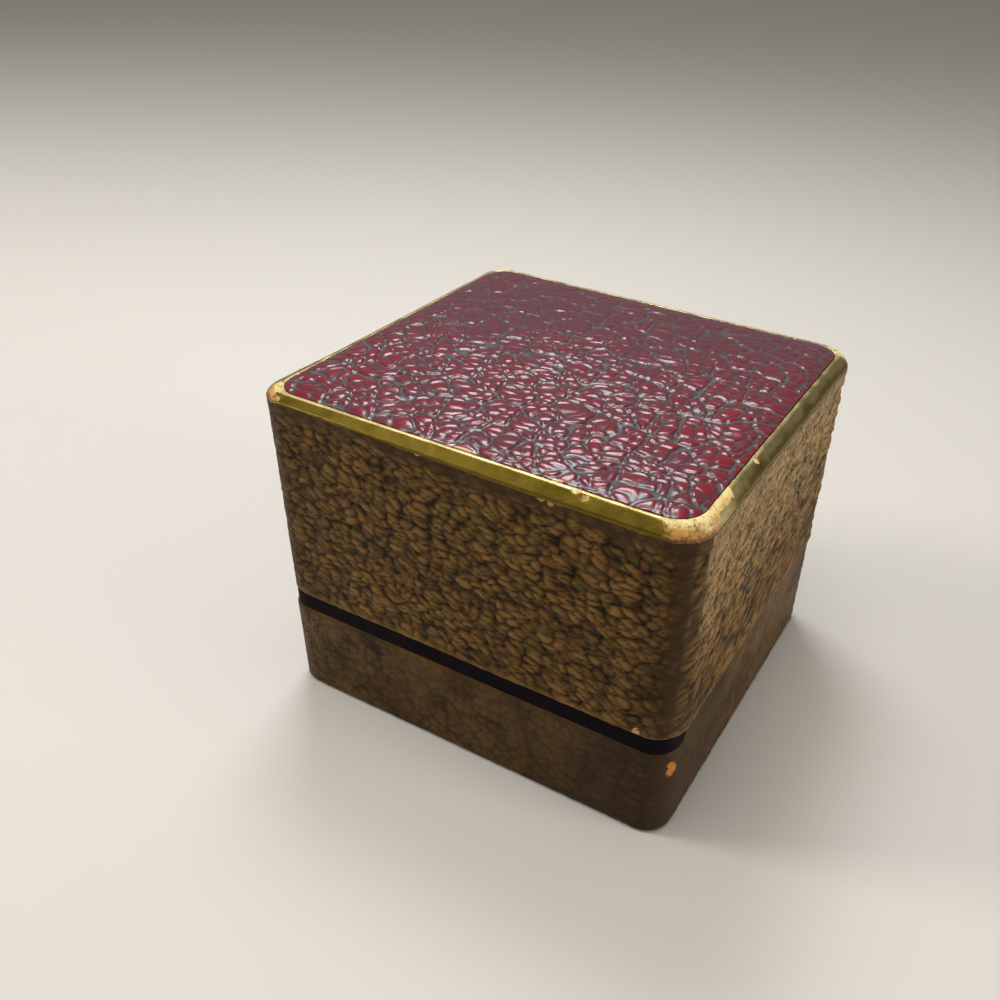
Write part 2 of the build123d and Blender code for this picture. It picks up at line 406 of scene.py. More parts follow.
# materials
def sideLeatherMaterial(name, hide):
    material, tree, inputs = newMaterial(name, Roughness=0.5, Specular_IOR_Level=hide["gloss"])
    points = objectPoints(tree)
    speckle, flecks = flecksOf(tree, points, 0.5)
    grain = flecked(tree, "grain", flecks, 0.35)
    # the near-black creases are partly the leather's own colour, partly painted shade
    colour = rampOf(tree, grain, [(0.12, hide["valley"]), (0.40, hide["slope"]), (0.86, hide["top"])])
    own = attributeOf(tree, "own")
    colour = tinted(tree, colour, own, 0.70, 0.95, 0.4, hide["red"])
    colour = tinted(tree, colour, own, 0.25, 0.05, 0.4, hide["olive"])
    patches = noiseOf(tree, points, 7.0, 4.0)
    colour = tinted(tree, colour, patches, 0.35, 0.72, hide["patchy"], hide["patch"], "MULTIPLY")
    # wear and painted shade share this mask and its dark worn colour
    colour = tinted(tree, colour, flecked(tree, "wearAndShade", flecks, 0.8), 0.3, 0.8, 0.85, hide["worn"])
    # on the lid, pale also carries painted light: its lighter -X side and a highlight along its lower edge
    colour = tinted(tree, colour, flecked(tree, "pale", flecks, 1.2), 0.35, 0.75, 0.85, hide["pale"])
    chip = flecked(tree, "chip", flecks, 0.8)
    colour = tinted(tree, colour, chip, 0.44, 0.50, 1.0, hide["chipEdge"])
    colour = tinted(tree, colour, chip, 0.54, 0.62, 1.0, hide["chip"])
    tree.links.new(colour, inputs["Base Color"])
    tree.links.new(rangeOf(tree, grain, 0.1, 0.9, *hide["rough"]), inputs["Roughness"])
    bumpInto(tree, inputs, speckle, hide["bump"])
    return material


topHide = {
    # from the bottom of the creases to the tops of the pebbles
    "grain": [(0.12, (0.105, 0.100, 0.105)), (0.30, (0.055, 0.030, 0.036)), (0.48, (0.100, 0.009, 0.017)),
              (0.90, (0.205, 0.009, 0.018))],
    # dull is the colour of the painted shade towards the -y side
    "patch": (0.085, 0.026, 0.040), "greyer": (0.075, 0.032, 0.045), "dull": (0.080, 0.027, 0.038),
    "chip": (0.78, 0.46, 0.33), "rough": (0.36, 0.24),
}


def topLeatherMaterial(hide):
    material, tree, inputs = newMaterial("burgundyLeather", Roughness=0.3, Specular_IOR_Level=0.4,
                                         Coat_Weight=0.2, Coat_Roughness=0.12)
    points = objectPoints(tree)
    speckle, flecks = flecksOf(tree, points, 0.45)
    grain = flecked(tree, "grain", flecks, 0.4)
    colour = rampOf(tree, grain, hide["grain"])
    colour = tinted(tree, colour, noiseOf(tree, points, 6.0, 4.0), 0.38, 0.7, 0.45, hide["patch"])
    colour = tinted(tree, colour, attributeOf(tree, "own"), 0.3, 0.05, 0.45, hide["greyer"])
    # painted shade: darker and duller where the mesh stores dull
    colour = tinted(tree, colour, flecked(tree, "dull", flecks, 0.6), 0.1, 0.9, 0.62, hide["dull"])
    colour = tinted(tree, colour, flecked(tree, "chip", flecks, 0.9), 0.42, 0.62, 0.95, hide["chip"])
    tree.links.new(colour, inputs["Base Color"])
    tree.links.new(rangeOf(tree, grain, 0.1, 0.9, *hide["rough"]), inputs["Roughness"])
    bumpInto(tree, inputs, speckle, 0.008)
    return material


giltTints = {
    "bevel": [(0.3, (0.125, 0.087, 0.010)), (0.55, (0.18, 0.127, 0.019)), (0.75, (0.105, 0.072, 0.010))],
    # painted highlight colour of the ledge and the upper bevel
    "bright": (0.80, 0.64, 0.30),
    # bare wood and gesso: dark at the foot of the bevel, orange on its slope, pale above
    "ground": [(0.0, (0.16, 0.06, 0.015)), (0.25, (0.46, 0.20, 0.04)), (0.6, (0.62, 0.34, 0.08)),
               (0.95, (0.84, 0.68, 0.30))],
    "dirt": (0.24, 0.12, 0.04),
}


def giltMaterial(tints):
    material, tree, inputs = newMaterial("wornGilt", Roughness=0.3, Metallic=1.0)
    points = objectPoints(tree)
    cloud = noiseOf(tree, points, 3.0, 4.0)
    speckle, flecks = flecksOf(tree, points, 0.35, 5.0, 0.7)
    bevel = rampOf(tree, cloud, tints["bevel"])
    # painted highlight where the mesh stores bright
    gold = tinted(tree, bevel, flecked(tree, "bright", flecks, 0.5), 0.15, 0.9, 1.0, tints["bright"])
    bare = rangeOf(tree, flecked(tree, "wearAndShade", flecks, 1.3), 0.40, 0.62, 0.0, 1.0)
    ground = rampOf(tree, flecked(tree, "height", flecks, 1.6), tints["ground"])
    ground = tinted(tree, ground, noiseOf(tree, points, 0.8, 4.0, 0.7), 0.54, 0.68, 0.7, tints["dirt"])
    tree.links.new(mixColours(tree, bare, gold, ground), inputs["Base Color"])
    tree.links.new(rangeOf(tree, bare, 0.0, 1.0, 1.0, 0.15), inputs["Metallic"])
    tree.links.new(rangeOf(tree, sums(tree, bare, cloud), 0.3, 1.5, 0.36, 0.6), inputs["Roughness"])
    bumpInto(tree, inputs, sums(tree, speckle, sums(tree, bare, -1.2, "MULTIPLY")), 0.03)
    return material


def stripMaterial():
    material, tree, inputs = newMaterial("darkStrip", Roughness=0.7, Specular_IOR_Level=0.06)
    points = objectPoints(tree)
    # nearly black: a dark leather, deepened with painted shade of its groove
    colour = rampOf(tree, noiseOf(tree, points, 2.0, 4.0), [(0.3, (0.0022, 0.0016, 0.0030)),
                                                            (0.7, (0.008, 0.004, 0.007))])
    tree.links.new(colour, inputs["Base Color"])
    bumpInto(tree, inputs, noiseOf(tree, points, 0.3, 4.0, 0.6), 0.03)
    return material


def velvetMaterial(name, dark, light, nap):
    material, tree, inputs = newMaterial(name, Roughness=0.9, Sheen_Weight=0.6, Sheen_Roughness=0.4,
                                         Sheen_Tint=(*light, 1), Specular_IOR_Level=0.1)
    points = objectPoints(tree)
    brushed = noiseOf(tree, objectPoints(tree, (1.0, 0.35, 1.0)), 2.6, 3.0, 0.6, 0.6)
    pile = noiseOf(tree, points, nap, 3.0, 0.7)
    shade = sums(tree, sums(tree, brushed, 0.5, "MULTIPLY"), sums(tree, pile, 0.5, "MULTIPLY"))
    tree.links.new(rampOf(tree, shade, [(0.30, dark), (0.72, light)]), inputs["Base Color"])
    bumpInto(tree, inputs, pile, 0.05)
    return material


def satinMaterial(name, dark, light):
    material, tree, inputs = newMaterial(name, Roughness=0.36, Sheen_Weight=0.3, Anisotropic=0.5,
                                         Specular_IOR_Level=0.5)
    threads = addNode(tree, "ShaderNodeTexWave", Scale=1 / (0.35 * mm), Distortion=0.6, Detail=1.0)
    threads.bands_direction = "X"
    tree.links.new(objectPoints(tree), threads.inputs["Vector"])
    weft = noiseOf(tree, objectPoints(tree, (0.12, 1.0, 1.0)), 0.25, 3.0)
    weave = sums(tree, sums(tree, threads.outputs["Fac"], 0.35, "MULTIPLY"), weft)
    tree.links.new(rampOf(tree, weave, [(0.4, dark), (0.85, light)]), inputs["Base Color"])
    bumpInto(tree, inputs, weave, 0.018)
    return material


def woodMaterial():
    material, tree, inputs = newMaterial("boxWood", Roughness=0.62)
    rings = addNode(tree, "ShaderNodeTexWave", Scale=1 / (2.2 * mm), Distortion=3.0, Detail=3.0)
    rings.bands_direction = "Z"
    rings.inputs["Detail Scale"].default_value = 0.6
    tree.links.new(objectPoints(tree, (0.12, 0.12, 1.0)), rings.inputs["Vector"])
    fibre = noiseOf(tree, objectPoints(tree, (0.1, 0.1, 1.0)), 0.25, 4.0, 0.7)
    colour = rampOf(tree, rings.outputs["Fac"], [(0.2, (0.30, 0.17, 0.08)), (0.8, (0.46, 0.29, 0.15))])
    colour = tinted(tree, colour, fibre, 0.4, 0.7, 0.5, (0.17, 0.09, 0.04))
    tree.links.new(colour, inputs["Base Color"])
    bumpInto(tree, inputs, fibre, 0.04)
    return material


def cardMaterial():
    material, tree, inputs = newMaterial("greyCard", Roughness=0.85)
    pulp = noiseOf(tree, objectPoints(tree), 0.4, 5.0, 0.7)
    tree.links.new(rampOf(tree, pulp, [(0.35, (0.28, 0.23, 0.16)), (0.65, (0.42, 0.36, 0.27))]),
                   inputs["Base Color"])
    bumpInto(tree, inputs, pulp, 0.03)
    return material


def clothMaterial():
    material, tree, inputs = newMaterial("bookCloth", Roughness=0.8, Sheen_Weight=0.2)
    points = objectPoints(tree)
    threads = []
    for direction in ("X", "Y"):
        wave = addNode(tree, "ShaderNodeTexWave", Scale=1 / (0.9 * mm), Distortion=0.8, Detail=1.5)
        wave.bands_direction = direction
        tree.links.new(points, wave.inputs["Vector"])
        threads.append(wave.outputs["Fac"])
    weave = sums(tree, threads[0], threads[1], "MULTIPLY")
    dust = noiseOf(tree, points, 6.0, 4.0)
    colour = rampOf(tree, weave, [(0.1, (0.012, 0.008, 0.006)), (0.8, (0.045, 0.030, 0.020))])
    colour = tinted(tree, colour, dust, 0.45, 0.75, 0.4, (0.10, 0.08, 0.06))
    tree.links.new(colour, inputs["Base Color"])
    bumpInto(tree, inputs, weave, 0.05)
    return material


def metalMaterial(name, bright, dull, roughness):
    material, tree, inputs = newMaterial(name, Metallic=1.0, Roughness=roughness)
    drawn = noiseOf(tree, objectPoints(tree, (0.08, 1.0, 1.0)), 0.12, 3.0)
    stain = noiseOf(tree, objectPoints(tree), 2.5, 4.0)
    tree.links.new(rampOf(tree, stain, [(0.35, dull), (0.6, bright)]), inputs["Base Color"])
    tree.links.new(rangeOf(tree, sums(tree, drawn, stain), 0.6, 1.4, roughness - 0.1, roughness + 0.2),
                   inputs["Roughness"])
    bumpInto(tree, inputs, drawn, 0.01)
    return material


lidLeatherFinish = sideLeatherMaterial("lidLeatherBrown", {
    "top": (0.240, 0.132, 0.034), "slope": (0.096, 0.050, 0.011), "valley": (0.010, 0.005, 0.001),
    "red": (0.200, 0.080, 0.026), "olive": (0.135, 0.094, 0.024), "patch": (0.66, 0.62, 0.58),
    "patchy": 0.7, "worn": (0.032, 0.015, 0.006), "pale": (0.44, 0.30, 0.140),
    "chip": (0.55, 0.30, 0.17), "chipEdge": (0.16, 0.05, 0.015), "rough": (0.60, 0.46),
    "gloss": 0.12, "bump": 0.02})
baseLeatherFinish = sideLeatherMaterial("baseLeatherBrown", {
    "top": (0.175, 0.092, 0.026), "slope": (0.100, 0.052, 0.014), "valley": (0.026, 0.013, 0.004),
    "red": (0.115, 0.045, 0.014), "olive": (0.100, 0.072, 0.022), "patch": (0.40, 0.36, 0.34),
    "patchy": 0.9, "worn": (0.026, 0.014, 0.007), "pale": (0.27, 0.16, 0.065),
    "chip": (0.48, 0.18, 0.025), "chipEdge": (0.16, 0.05, 0.015), "rough": (0.56, 0.46),
    "gloss": 0.12, "bump": 0.02})
topLeatherFinish = topLeatherMaterial(topHide)
giltFinish = giltMaterial(giltTints)
stripFinish = stripMaterial()
padVelvet = velvetMaterial("padVelvet", (0.030, 0.011, 0.050), (0.105, 0.045, 0.165), 0.16)
linerVelvet = velvetMaterial("linerVelvet", (0.026, 0.009, 0.044), (0.090, 0.040, 0.145), 0.14)
linerSatin = satinMaterial("linerSatin", (0.56, 0.47, 0.34), (0.70, 0.61, 0.46))
padSatin = satinMaterial("padSatin", (0.58, 0.49, 0.35), (0.74, 0.65, 0.49))
wood = woodMaterial()
card = cardMaterial()
bookCloth = clothMaterial()
brass = metalMaterial("hingeBrass", (0.60, 0.43, 0.16), (0.30, 0.20, 0.08), 0.36)
steel = metalMaterial("pinSteel", (0.50, 0.50, 0.51), (0.26, 0.25, 0.24), 0.3)
print("materials are ready")


# sizes read from the frame
lidLow, lidHigh = nodeBox("lid_leather")
baseLow, baseHigh = nodeBox("base_leather")
rimLow, rimHigh = nodeBox("gilt_rim")
panelLow, panelHigh = nodeBox("top_panel_leather")
stripLow = nodeBox("hinge_strip")[0]
box = {
    # rounds of the upright corners of the lid, the base and the panel on top
    "lidRound": 3.7 * mm,
    "baseRound": 3.1 * mm,
    "panelRound": 2.9 * mm,
    "leather": 0.5 * mm,
    "wall": 1.8 * mm,
    "halfDepth": 23 * mm,
    "minusXSide": (-25 * mm, 23 * mm),  # the -X corner of the hinge side, near which shade and highlights are painted
}
box["skin"] = box["leather"] + box["wall"]
lidSize = (lidHigh[0] - lidLow[0], lidHigh[1] - lidLow[1], box["lidRound"], 0.0)
baseSize = (baseHigh[0] - baseLow[0], baseHigh[1] - baseLow[1], box["baseRound"],
            (baseHigh[1] + baseLow[1]) / 2)


def sculptRound(piece, size, shape):
    # shape gives how far each point goes inwards, its level, and values for the material
    points = readPoints(piece)
    around = alongOutline(points, size)
    around["points"] = points
    around["outer"] = around["inset"] < 0.02 * mm
    inwards, z, values = shape(around)
    storeValues(piece, **values)
    points[:, :2] -= inwards
    points[:, 2] = z
    writePoints(piece, points)


def cornerNearness(around, points, seed):
    # 1 in the middle of an upright corner, 0 on the flats
    near = step(0.05, 0.6, np.abs(around["normal"]).min(axis=1))
    return near * (0.8 + 0.2 * softNoise(points, 1.5, seed))


def fromMinusXCorner(points):
    # how far the points are from the -X corner of the hinge side, seen from above
    x, y = box["minusXSide"]
    return np.hypot(points[:, 0] - x, points[:, 1] - y)


def chipMask(points, chips, seed):
    mask = np.zeros(len(points))
    wobble = 1 + 0.35 * softNoise(points, 0.35, seed)
    for *centre, radius in chips:
        far = np.linalg.norm(points - np.array(centre) * mm, axis=1) / (radius * mm * wobble)
        mask = np.maximum(mask, 1 - np.clip(far, 0, 2) / 2)
    return mask


def pebbledGrain(points, u, z, look, length, seed):
    # height of the grain from 0 to 1: domed pebbles in groups with deeper creases between
    # the cells' rows fall towards one pair of corners and climb towards the other
    wu = warped(u, points, look["warp"], 0.35, (2.6, 0.9), seed)
    wz = warped(z, points, look["warp"], 0.35, (2.4, 0.8), seed + 2)
    wz = wz - look["slant"] * points[:, 0] * points[:, 1] / box["halfDepth"]
    near, second, own = cellGrain(wu, wz, look["pebble"], seed + 4, 1.0, wrap=length)
    dome = 0.6 * step(0.0, 0.5, second - near) + 0.4 * np.clip(1 - near ** 2, 0, 1)
    dome = dome * (0.72 + 0.28 * own)
    near, second = cellGrain(wu, wz, look["group"], seed + 5, 1.0, wrap=length)[:2]
    crease = step(0.0, 0.26, second - near)
    return dome * (0.45 + 0.55 * crease), own


def roundedOff(r, away):
    # how far a rounded edge of radius r stands back, away from the edge
    over = np.clip(r - away, 0, r)
    return r - np.sqrt(np.maximum(r * r - over * over, 0))


# lid leather: small domed pebbles, worn smooth at the corners
lidLook = {
    "spacing": 0.224 * mm,
    "pebble": (1.65 * mm, 0.76 * mm),
    "group": (4.2 * mm, 2.6 * mm),
    "slant": 0.25,  # rows of pebbles fall away from level
    "sideFactor": 0.6,  # pebbles lie longer on the narrow sides
    "depth": 0.30 * mm,
    "chipDepth": 0.10 * mm,
    "wave": 0.04 * mm,  # the sides aren't quite flat
    "warp": 0.50 * mm,  # nor the rows of pebbles straight
    "edgeRound": 0.4 * mm,
    "lift": 0.7 * mm,  # of the top edge, towards one corner
    "paintedSideLight": (0.24, 0.36),  # painted light on one side, and more near its top
    # x, y, z and radius of each
    "chips": [(-20.7, 22.9, 14.2, 0.5), (-24.2, 21.9, 14.3, 0.35), (24.6, 22.0, 37.6, 0.4)],
    "nicks": [(4.2, 23.0, 37.9, 0.35), (-9.5, 23.0, 37.7, 0.35), (-10.4, 23.0, 37.5, 0.3)],
}


def topLift(x, y):
    # the rim's lower line isn't level: it climbs along the hinge side and falls back past its corner
    return lidLook["lift"] * step(-14 * mm, 24 * mm, x) * step(-6 * mm, 20 * mm, y)


def shapeLidLeather(around):
    look, low = lidLook, lidLow[2]
    points, normal, outer = around["points"], around["normal"], around["outer"]
    x, y, z = points.T
    high = lidHigh[2] + topLift(x, y)
    z = low + (z - low) * (high - low) / (lidHigh[2] - low)
    u, length = drawnOutSides(around, lidSize, look["sideFactor"])
    grain, own = pebbledGrain(points, u, z, look, length, 11)
    # worn smooth at the corners, and quieter under the rim and at the foot; the corners' dark colour,
    # mostly on their y-facing half, is partly painted shade
    corner = cornerNearness(around, points, 21) * (1 - 0.75 * step(0.70, 0.90, np.abs(normal[:, 0])))
    band = step(0.3 * mm, 2.4 * mm, high - z + 0.7 * mm * softNoise(points, 2.5, 22))
    foot = step(0.3 * mm, 1.4 * mm, z - low + 0.3 * mm * softNoise(points, 2.0, 23))
    quiet = (1 - 0.85 * corner) * (0.2 + 0.8 * band) * (0.25 + 0.75 * foot)
    chip = chipMask(points, look["chips"], 41)
    depth = (1 - grain) * look["depth"] * quiet + look["chipDepth"] * step(0.42, 0.6, chip)
    depth += look["wave"] * (1 - np.abs(softNoise(points, 6, 31)))
    depth += roundedOff(look["edgeRound"], z - low)
    shade = grain * (0.3 + 0.7 * quiet) + (1 - quiet) * (0.28 + 0.35 * (1 - foot))
    nick = chipMask(points, look["nicks"], 42)
    edge = step(0.30 * mm, 0.0, high - z) * (0.35 + 0.5 * softNoise(points, 1.6, 24))
    # painted highlight: a light line along the lower edge
    hemHighlight = step(0.25 * mm, 0.0, np.abs(z - low - 0.35 * mm)) * (0.38 + 0.3 * softNoise(points, 2.2, 25))
    # painted light: one side is lighter, most of all near its top
    paintedSideLight = look["paintedSideLight"][0] + look["paintedSideLight"][1] * step(low, high, z)
    paintedSideLight = step(0.93, 1.0, -normal[:, 0]) * paintedSideLight * (0.75 + 0.4 * grain)
    pale = np.maximum.reduce([edge, hemHighlight, paintedSideLight, 1.5 * step(0.4, 0.6, nick)])
    # darker towards both ends of the hinge side; next to its -X corner this is painted shade, deepest at
    # the foot
    dark = 0.5 * step(4 * mm, 25 * mm, x) * step(15 * mm, 23 * mm, y)
    paintedLightNearCorner = (0.42 + 0.16 * step(high, low, z)) * step(13 * mm, 1 * mm, fromMinusXCorner(points))
    wearAndShade = np.maximum.reduce([corner, 0.62 * (1 - band), dark, paintedLightNearCorner])
    values = {"grain": np.where(outer, shade, 0.4), "wearAndShade": wearAndShade, "chip": chip * outer,
              "pale": pale * outer, "own": 0.5 + (own - 0.5) * quiet}
    return normal * (depth * outer)[:, None], z, values


def makeLidLeather():
    look = lidLook
    low, high = lidLow[2], lidHigh[2]
    r, spacing, skin = look["edgeRound"], look["spacing"], box["leather"]
    outside = [(0.0, low + r * t) for t in (0, 0.1, 0.3, 0.6, 1.0)] + [(0.0, high)]
    inside = [(skin, high), (skin, low + skin), (box["skin"], low + skin), (box["skin"], low)]
    cuts = round((high - low - r) / spacing) - 1
    piece = carriedRound("lidLeather", lidSize, outside + inside, spacing, [(low + r, high, cuts)])
    sculptRound(piece, lidSize, shapeLidLeather)
    smoothAndGive(piece, 50, lidLeatherFinish)
    finishPiece(piece, "lid", "lid_leather")


makeLidLeather()


# base leather: smoother, stepped down under the hinge strip
baseLook = {
    "spacing": 0.26 * mm,
    "pebble": (1.35 * mm, 1.05 * mm),
    "group": (3.6 * mm, 2.8 * mm),
    "slant": 0.2,
    "depth": 0.10 * mm,
    "chipDepth": 0.10 * mm,
    "warp": 0.6 * mm,
    "footRound": 0.7 * mm,
    "topRound": 0.3 * mm,
    "grooveRound": 0.8 * mm,
    "grooveZ": 12.15 * mm,
    "turnIn": 4.0 * mm,
    "chips": [(-24.7, 21.1, 9.2, 0.9), (-24.6, 21.4, 10.1, 0.5), (24.0, 21.6, 1.6, 0.3)],
}


def shapeBaseLeather(around):
    look = baseLook
    low, high, foot = baseLow[2], baseHigh[2], look["footRound"]
    outer = around["outer"]
    x, y, z = around["points"].T
    # under the strip the top is lower, and rounder
    stepped = step(0.0, 0.12 * mm, y - (lidHigh[1] - box["lidRound"]))
    top = high - stepped * (high - look["grooveZ"])
    z = np.where(z > foot, foot + (z - foot) * (top - foot) / (high - foot), z)
    points = np.column_stack([x, y, z])
    grain, own = pebbledGrain(points, around["u"], z, look, around["length"], 61)
    corner = cornerNearness(around, points, 71)
    quiet = (1 - 0.7 * corner) * step(0.1 * mm, 1.0 * mm, top - z)
    chip = chipMask(points, look["chips"], 81)
    depth = (1 - grain) * look["depth"] * quiet + look["chipDepth"] * step(0.42, 0.6, chip)
    depth += roundedOff(foot, z - low)
    depth += roundedOff(look["topRound"] + stepped * (look["grooveRound"] - look["topRound"]), top - z)
    shade = 0.42 + 0.55 * (grain - 0.45) * quiet + 0.16 * softNoise(points, 3, 91)
    # painted shade along the foot and along the top edge
    bottomEdge = 0.5 * step(1.4 * mm, 0.2 * mm, z - low)
    topEdge = 0.4 * step(0.9 * mm, 0.0, top - z)
    # lighter towards one corner of the hinge side
    pale = 0.30 * step(6 * mm, 25 * mm, x) * step(0.0, 18 * mm, y)
    pale = pale * (1 + 0.8 * softNoise(points, 2.4, 92))
    # and painted shade spreading from near the opposite one
    cornerShade = step(36 * mm, 3 * mm, fromMinusXCorner(points) + 3 * mm * softNoise(points, 4, 93))
    wearAndShade = np.maximum.reduce([corner * 0.8, bottomEdge, topEdge, 0.72 * cornerShade])
    values = {"grain": np.where(outer, shade, 0.3), "wearAndShade": wearAndShade, "chip": chip * outer,
              "pale": pale * outer, "own": 0.5 + (own - 0.5) * quiet}
    return around["normal"] * (depth * outer)[:, None], z, values


def makeBaseLeather():
    look = baseLook
    low, high, foot, skin = baseLow[2], baseHigh[2], look["footRound"], box["leather"]
    shoulder = high - look["grooveRound"]
    outside = [(0.0, low + foot * (1 - math.cos(a))) for a in np.linspace(0, math.pi / 2, roundStops)]
    outside += [(0.0, z) for z in np.linspace(shoulder, high, roundStops)]
    inside = [(box["skin"], high), (box["skin"], high - skin), (skin, high - skin), (skin, low + foot),
              (0.9 * mm, low + 0.9 * mm), (foot, low + skin), (look["turnIn"], low + skin),
              (look["turnIn"], low)]
    cuts = round((shoulder - foot) / look["spacing"]) - 1
    walls = [(low + foot, shoulder, cuts)]
    piece = carriedRound("baseLeather", baseSize, outside + inside, look["spacing"], walls)
    sculptRound(piece, baseSize, shapeBaseLeather)
    smoothAndGive(piece, 50, baseLeatherFinish)
    finishPiece(piece, "base", "base_leather")


makeBaseLeather()


# gilt rim: foot, bevel and narrow flat, rubbed at its corners
rimLook = {
    "spacing": 0.24 * mm,
    "footIn": 0.1 * mm,
    "footHeight": 0.3 * mm,
    "bevel": 1.05 * mm,
    "ledge": 0.4 * mm,
    "round": 0.07 * mm,
    "dents": 0.05 * mm,
    "panelGap": 0.1 * mm,
    # x, y and reach of the corners that are rubbed bare
    "worn": [(-24.0, 22.0, 4.4), (23.6, 21.8, 2.4), (-24.0, -22.0, 2.6), (24.0, -22.0, 2.2)],
    "patchY": 17.5 * mm,  # and the middle of a bare patch on the side that is most handled
    "belly": 0.14 * mm,  # how far the bevel swells on that side
    "chips": [(-12.3, 21.7, 38.9, 0.42), (-13.4, 22.1, 38.6, 0.36), (-10.0, 21.55, 38.95, 0.26),
              (-24.0, 8.0, 38.7, 0.3), (22.9, 21.9, 38.2, 0.5), (21.9, 22.4, 38.1, 0.4)],
}


def shapeRim(around):
    look = rimLook
    points, inset, normal = around["points"], around["inset"], around["normal"]
    xs, ys, z = points.T
    pastBevel = inset - look["footIn"] - look["bevel"]
    slope = np.clip((inset - look["footIn"]) / look["bevel"], 0, 1)
    onTop = z > rimLow[2] + 0.05 * mm
    worn = np.zeros(len(z))
    for x, y, reach in look["worn"]:
        far = np.hypot(xs - x * mm, ys - y * mm) / (reach * mm)
        worn = np.maximum(worn, step(1.15, 0.55, far + 0.3 * softNoise(points, 1.1, 16)))
    minusXSide = step(0.75, 0.98, -normal[:, 0])
    fromPatch = np.abs(ys - look["patchY"] + 1.5 * mm * softNoise(points, 1.6, 19))
    worn = np.maximum(worn, step(4.4 * mm, 3.0 * mm, fromPatch) * minusXSide * step(0.35, 0.7, slope))
    bevelled = (pastBevel < 0.6 * look["ledge"]) & onTop
    rough = softNoise(points, 0.8, 5)
    edge = np.exp(-(pastBevel / (0.22 * mm)) ** 2)
    wearAndShade = worn * (0.66 + 0.3 * rough) + 0.36 * edge * step(0.1, 0.7, softNoise(points, 2.2, 6))
    low = step(0.4 * mm, 0.0, z - rimLow[2]) * step(0.3, 0.8, softNoise(points, 1.4, 8))
    chip = chipMask(points, look["chips"], 9)
    wearAndShade = np.maximum.reduce([wearAndShade, 0.45 * low, step(0.3, 0.6, chip)])
    dent = look["dents"] * np.maximum(0, softNoise(points, 1.1, 7)) + 0.12 * mm * step(0.42, 0.62, chip)
    dent = dent + worn * 0.10 * mm * (0.6 + 0.4 * rough)
    dent = dent + minusXSide * 0.08 * mm * np.maximum(0, softNoise(points, 2.6, 13))
    dent = dent * bevelled - minusXSide * look["belly"] * 4 * slope * (1 - slope)
    # painted highlight on the ledge, and on the upper bevel of the -X side, strongest near its corner
    ragged = 0.22 * softNoise(points, 3.0, 14) + 0.16 * softNoise(points, 0.9, 15)
    paintedLightNearCorner = step(12 * mm, 5 * mm, fromMinusXCorner(points) + 3 * mm * softNoise(points, 2.2, 17))
    streak = step(0.0, 0.85, slope + ragged + 0.45 * paintedLightNearCorner) * minusXSide * (0.45 + 0.55 * paintedLightNearCorner)
    ledge = step(0.90, 1.0, slope) * (0.62 + 0.5 * softNoise(points, 1.6, 18))
    bright = np.maximum(ledge, streak) * onTop
    # under the bevel the rim follows the leather's top edge
    fall = 1 - np.clip((z - rimLow[2]) / (rimHigh[2] - rimLow[2]), 0, 1)
    raised = z - 0.5 * dent + topLift(xs, ys) * fall
    # the hole is rounder at its corners than the outside
    half = (lidSize[0] / 2 - inset, lidSize[1] / 2 - inset)
    holeRound = box["panelRound"] + look["panelGap"]
    inside, outX, outY = insideRound(xs, ys, half, holeRound)
    draw = np.maximum(-inside, 0) * np.clip(pastBevel / look["ledge"], 0, 1)
    inwards = normal * (0.6 * dent)[:, None] + np.column_stack([outX, outY]) * draw[:, None]
    return inwards, raised, {"wearAndShade": wearAndShade, "bright": bright, "height": slope}


def makeGiltRim():
    look = rimLook
    low, high = rimLow[2], rimHigh[2]
    a, r = look["footIn"], look["round"]
    b, c = a + look["bevel"], a + look["bevel"] + look["ledge"]
    rise = look["footHeight"]
    foot = [(a, low + rise * t) for t in (0, 0.35, 0.7)]
    slope = [(a + look["bevel"] * t, low + rise + (high - low - rise) * t)
             for t in np.linspace(0.03, 0.94, roundStops)]
    ledge = [(b + r * 0.5, high - r * 0.25), (b + r * 1.6, high), (b + look["ledge"] * 0.6, high),
             (c - r, high), (c - r * 0.25, high - r * 0.3), (c, high - r)]
    piece = carriedRound("giltRim", lidSize, foot + slope + ledge + [(c, low)], look["spacing"])
    sculptRound(piece, lidSize, shapeRim)
    smoothAndGive(piece, 40, giltFinish)
    finishPiece(piece, "lid", "gilt_rim")


makeGiltRim()


# top panel: burgundy leather over card, in big folds and small pebbles
panelLook = {
    "spacing": 0.152 * mm,
    "folds": (3.6 * mm, 3.1 * mm),
    "pebble": (1.75 * mm, 1.20 * mm),
    "foldDepth": 0.13 * mm,
    "pebbleDepth": 0.20 * mm,
    "warp": 0.66 * mm,
    "edgeRound": 0.45 * mm,
    "shoulder": 2.4 * mm,
    "dull": (8 * mm, -18 * mm),  # the grain lies flatter from here to here, with painted shade there
    # where the dye is rubbed off along the edge: from x to x, y, width
    "rubbed": [(5.8, -2.4, 21.3, 0.28), (-8.2, -11.2, 21.25, 0.26)],
}


def panelHeights(x, y):
    look = panelLook
    points = np.column_stack([x, y, np.zeros(len(x))])
    wx = warped(x, points, look["warp"], 0.3, (3.0, 1.0), 101)
    wy = warped(y, points, look["warp"], 0.3, (2.8, 1.1), 103)
    # long creases between groups, and domed pebbles inside them
    near, second = cellGrain(wx, wy, look["folds"], 105, 0.95, slope=0.25)[:2]
    crease = step(0.16, 0.02, second - near)
    near, second, own = cellGrain(wx, wy, look["pebble"], 106, 0.9, slope=-0.15)
    valley = step(0.24, 0.02, second - near) * (0.55 + 0.45 * own)
    dome = 0.4 * step(0.0, 0.5, second - near) + 0.6 * np.clip(1 - 1.1 * near ** 2, 0, 1)
    return np.maximum(valley, crease), dome, crease, own


